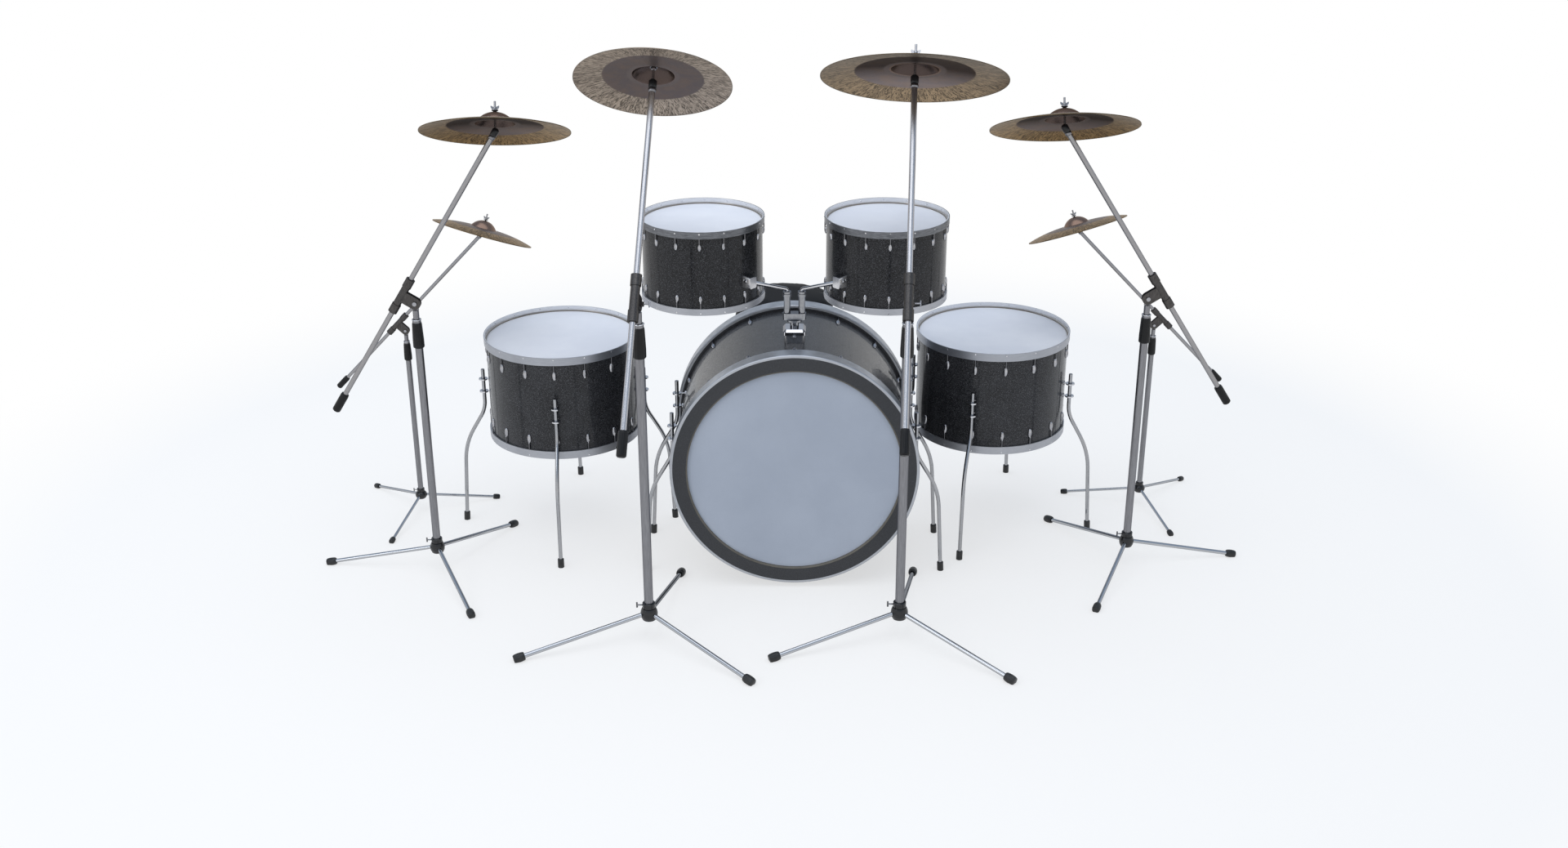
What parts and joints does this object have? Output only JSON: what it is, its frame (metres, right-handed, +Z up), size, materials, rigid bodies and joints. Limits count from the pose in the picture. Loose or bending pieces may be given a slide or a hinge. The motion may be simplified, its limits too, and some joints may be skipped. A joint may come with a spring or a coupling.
{
  "type": "drum kit",
  "caption": "Acoustic drum kit: bass drum on bent legs with rack toms on a twin mount, floor toms, cymbals on tripod boom stands and a round padded throne.",
  "frame": {"origin": "middle of the footprint, on the floor", "axes": "+Z up, -Y toward the audience, +X to the audience's right"},
  "size_m": [2.475, 1.4926, 1.4311],
  "materials": {
    "sparkle_wrap": "wooden shell in a glossy charcoal sparkle wrap",
    "bass_hoop": "satin silver band with a dark face ring",
    "head_film": "pale coated film",
    "tom_hoop": "satin cast hoop",
    "lug_chrome": "polished chrome",
    "stand_steel": "satin steel tube",
    "black_plastic": "moulded black plastic",
    "black_rubber": "ribbed black rubber",
    "black_vinyl": "padded black vinyl",
    "black_metal": "satin black paint",
    "bronze": "lathed and hammered bronze"
  },
  "bodies": {
    "base": {"stand_legs": "stand_steel", "rubber_feet": "black_rubber", "stand_hubs_and_clutches": "black_plastic", "stand_tubes": "stand_steel", "drum_legs": "lug_chrome", "bass_shell": "sparkle_wrap", "bass_hoops": "bass_hoop", "bass_heads": "head_film", "bass_lugs": "lug_chrome", "bass_leg_clamps": "lug_chrome", "tom_mount_saddle": "lug_chrome"},
    "tom_post": {"tom_mount_post": "lug_chrome"},
    "throne": {"throne_seat": "black_vinyl", "throne_seat_plate": "black_metal"},
    "left_arm": {"left_tom_arm": "lug_chrome"},
    "left_rack_tom": {"left_rack_tom_shell": "sparkle_wrap", "left_rack_tom_hoops": "tom_hoop", "left_rack_tom_heads": "head_film", "left_rack_tom_lugs": "lug_chrome", "left_rack_tom_bracket": "lug_chrome"},
    "left_floor_tom": {"left_floor_tom_shell": "sparkle_wrap", "left_floor_tom_hoops": "tom_hoop", "left_floor_tom_heads": "head_film", "left_floor_tom_lugs": "lug_chrome", "left_floor_tom_leg_clamps": "lug_chrome"},
    "right_arm": {"right_tom_arm": "lug_chrome"},
    "right_rack_tom": {"right_rack_tom_shell": "sparkle_wrap", "right_rack_tom_hoops": "tom_hoop", "right_rack_tom_heads": "head_film", "right_rack_tom_lugs": "lug_chrome", "right_rack_tom_bracket": "lug_chrome"},
    "right_floor_tom": {"right_floor_tom_shell": "sparkle_wrap", "right_floor_tom_hoops": "tom_hoop", "right_floor_tom_heads": "head_film", "right_floor_tom_lugs": "lug_chrome", "right_floor_tom_leg_clamps": "lug_chrome"},
    "front_left_upper_tube": {"front_left_mast": "stand_steel"},
    "front_left_clamp": {"front_left_boom_clamp": "black_metal"},
    "front_left_arm_with_rod": {"front_left_boom": "stand_steel"},
    "front_left_plate": {"front_left_cymbal": "bronze"},
    "front_right_upper_tube": {"front_right_mast": "stand_steel"},
    "front_right_clamp": {"front_right_boom_clamp": "black_metal"},
    "front_right_arm_with_rod": {"front_right_boom": "stand_steel"},
    "front_right_plate": {"front_right_cymbal": "bronze"},
    "middle_left_upper_tube": {"middle_left_mast": "stand_steel"},
    "middle_left_clamp": {"middle_left_boom_clamp": "black_metal"},
    "middle_left_arm_with_rod": {"middle_left_boom": "stand_steel"},
    "middle_left_plate": {"middle_left_cymbal": "bronze"},
    "middle_right_upper_tube": {"middle_right_mast": "stand_steel"},
    "middle_right_clamp": {"middle_right_boom_clamp": "black_metal"},
    "middle_right_arm_with_rod": {"middle_right_boom": "stand_steel"},
    "middle_right_plate": {"middle_right_cymbal": "bronze"},
    "back_left_upper_tube": {"back_left_mast": "stand_steel"},
    "back_left_clamp": {"back_left_boom_clamp": "black_metal"},
    "back_left_arm_with_rod": {"back_left_boom": "stand_steel"},
    "back_left_plate": {"back_left_cymbal": "bronze"},
    "back_right_upper_tube": {"back_right_mast": "stand_steel"},
    "back_right_clamp": {"back_right_boom_clamp": "black_metal"},
    "back_right_arm_with_rod": {"back_right_boom": "stand_steel"},
    "back_right_plate": {"back_right_cymbal": "bronze"}
  },
  "joints": [
    {"name": "front_left_height", "type": "slide", "parent": "base", "child": "front_left_upper_tube", "axis": [0, 0, 1], "range_m": [-0.02, 0.12]},
    {"name": "front_left_tilt", "type": "hinge", "parent": "front_left_upper_tube", "child": "front_left_clamp", "pos_m": [-0.32474, -0.48515, 0.875], "axis": [-0.9949, 0.1011, 0], "range_deg": [-10, 8]},
    {"name": "front_left_boom_slide", "type": "slide", "parent": "front_left_clamp", "child": "front_left_arm_with_rod", "axis": [0.0608, 0.5987, 0.7986], "range_m": [-0.04, 0.06]},
    {"name": "front_left_rock", "type": "hinge", "parent": "front_left_arm_with_rod", "child": "front_left_plate", "pos_m": [-0.29437, -0.17678, 1.35658], "axis": [0.9978, -0.066, 0], "range_deg": [-6, 6]},
    {"name": "front_right_height", "type": "slide", "parent": "base", "child": "front_right_upper_tube", "axis": [0, 0, 1], "range_m": [-0.02, 0.12]},
    {"name": "front_right_tilt", "type": "hinge", "parent": "front_right_upper_tube", "child": "front_right_clamp", "pos_m": [0.29296, -0.48185, 0.875], "axis": [-0.9973, 0.0732, 0], "range_deg": [-10, 8]},
    {"name": "front_right_boom_slide", "type": "slide", "parent": "front_right_clamp", "child": "front_right_arm_with_rod", "axis": [0.0441, 0.6002, 0.7986], "range_m": [-0.04, 0.06]},
    {"name": "front_right_rock", "type": "hinge", "parent": "front_right_arm_with_rod", "child": "front_right_plate", "pos_m": [0.31641, -0.17174, 1.37339], "axis": [0.9947, -0.1029, 0], "range_deg": [-6, 6]},
    {"name": "middle_left_height", "type": "slide", "parent": "base", "child": "middle_left_upper_tube", "axis": [0, 0, 1], "range_m": [-0.018, 0.06]},
    {"name": "middle_left_tilt", "type": "hinge", "parent": "middle_left_upper_tube", "child": "middle_left_clamp", "pos_m": [-0.91724, -0.11615, 0.749], "axis": [0, 1, 0], "range_deg": [-10, 8]},
    {"name": "middle_left_boom_slide", "type": "slide", "parent": "middle_left_clamp", "child": "middle_left_arm_with_rod", "axis": [0.5344, 0, 0.8453], "range_m": [-0.036, 0.054]},
    {"name": "middle_left_rock", "type": "hinge", "parent": "middle_left_arm_with_rod", "child": "middle_left_plate", "pos_m": [-0.6868, -0.09755, 1.22724], "axis": [0.9996, 0.0277, 0], "range_deg": [-6, 6]},
    {"name": "middle_right_height", "type": "slide", "parent": "base", "child": "middle_right_upper_tube", "axis": [0, 0, 1], "range_m": [-0.018, 0.06]},
    {"name": "middle_right_tilt", "type": "hinge", "parent": "middle_right_upper_tube", "child": "middle_right_clamp", "pos_m": [0.92796, -0.08455, 0.749], "axis": [0, -1, 0], "range_deg": [-10, 8]},
    {"name": "middle_right_boom_slide", "type": "slide", "parent": "middle_right_clamp", "child": "middle_right_arm_with_rod", "axis": [-0.5432, 0, 0.8396], "range_m": [-0.036, 0.054]},
    {"name": "middle_right_rock", "type": "hinge", "parent": "middle_right_arm_with_rod", "child": "middle_right_plate", "pos_m": [0.68962, -0.06595, 1.22816], "axis": [0.9994, 0.0356, 0], "range_deg": [-6, 6]},
    {"name": "back_left_height", "type": "slide", "parent": "base", "child": "back_left_upper_tube", "axis": [0, 0, 1], "range_m": [-0.013, 0.079]},
    {"name": "back_left_tilt", "type": "hinge", "parent": "back_left_upper_tube", "child": "back_left_clamp", "pos_m": [-1.03234, 0.24065, 0.546], "axis": [0, 1, 0], "range_deg": [-10, 8]},
    {"name": "back_left_boom_slide", "type": "slide", "parent": "back_left_clamp", "child": "back_left_arm_with_rod", "axis": [0.6972, 0, 0.7169], "range_m": [-0.026, 0.04]},
    {"name": "back_left_rock", "type": "hinge", "parent": "back_left_arm_with_rod", "child": "back_left_plate", "pos_m": [-0.79233, 0.24983, 0.8541], "axis": [0.6912, -0.7227, 0], "range_deg": [-6, 6]},
    {"name": "back_right_height", "type": "slide", "parent": "base", "child": "back_right_upper_tube", "axis": [0, 0, 1], "range_m": [-0.013, 0.079]},
    {"name": "back_right_tilt", "type": "hinge", "parent": "back_right_upper_tube", "child": "back_right_clamp", "pos_m": [1.03346, 0.27875, 0.546], "axis": [0, -1, 0], "range_deg": [-10, 8]},
    {"name": "back_right_boom_slide", "type": "slide", "parent": "back_right_clamp", "child": "back_right_arm_with_rod", "axis": [-0.6984, 0, 0.7157], "range_m": [-0.026, 0.04]},
    {"name": "back_right_rock", "type": "hinge", "parent": "back_right_arm_with_rod", "child": "back_right_plate", "pos_m": [0.79425, 0.28792, 0.85224], "axis": [0.6867, 0.7269, 0], "range_deg": [-6, 6]},
    {"name": "tom_post_height", "type": "slide", "parent": "base", "child": "tom_post", "axis": [0, 0, 1], "range_m": [0, 0.015]},
    {"name": "left_arm_swing", "type": "hinge", "parent": "tom_post", "child": "left_arm", "pos_m": [0.01651, -0.08015, 0.7732], "axis": [0, 0, 1], "range_deg": [-12, 12]},
    {"name": "left_rack_tom_tilt", "type": "hinge", "parent": "left_arm", "child": "left_rack_tom", "pos_m": [-0.07549, -0.13015, 0.8087], "axis": [-0.8321, -0.4522, 0.3211], "range_deg": [-8, 8]},
    {"name": "left_floor_tom_height", "type": "slide", "parent": "base", "child": "left_floor_tom", "axis": [0, 0, 1], "range_m": [-0.02, 0.02]},
    {"name": "right_arm_swing", "type": "hinge", "parent": "tom_post", "child": "right_arm", "pos_m": [0.05401, -0.08015, 0.7732], "axis": [0, 0, 1], "range_deg": [-12, 12]},
    {"name": "right_rack_tom_tilt", "type": "hinge", "parent": "right_arm", "child": "right_rack_tom", "pos_m": [0.14601, -0.13015, 0.8087], "axis": [0.8321, -0.4522, 0.3211], "range_deg": [-8, 8]},
    {"name": "right_floor_tom_height", "type": "slide", "parent": "base", "child": "right_floor_tom", "axis": [0, 0, 1], "range_m": [-0.006, 0.02]},
    {"name": "throne_spin", "type": "hinge", "parent": "base", "child": "throne", "pos_m": [0.01026, 0.52285, 0.553], "axis": [0, 0, 1], "continuous": true}
  ]
}
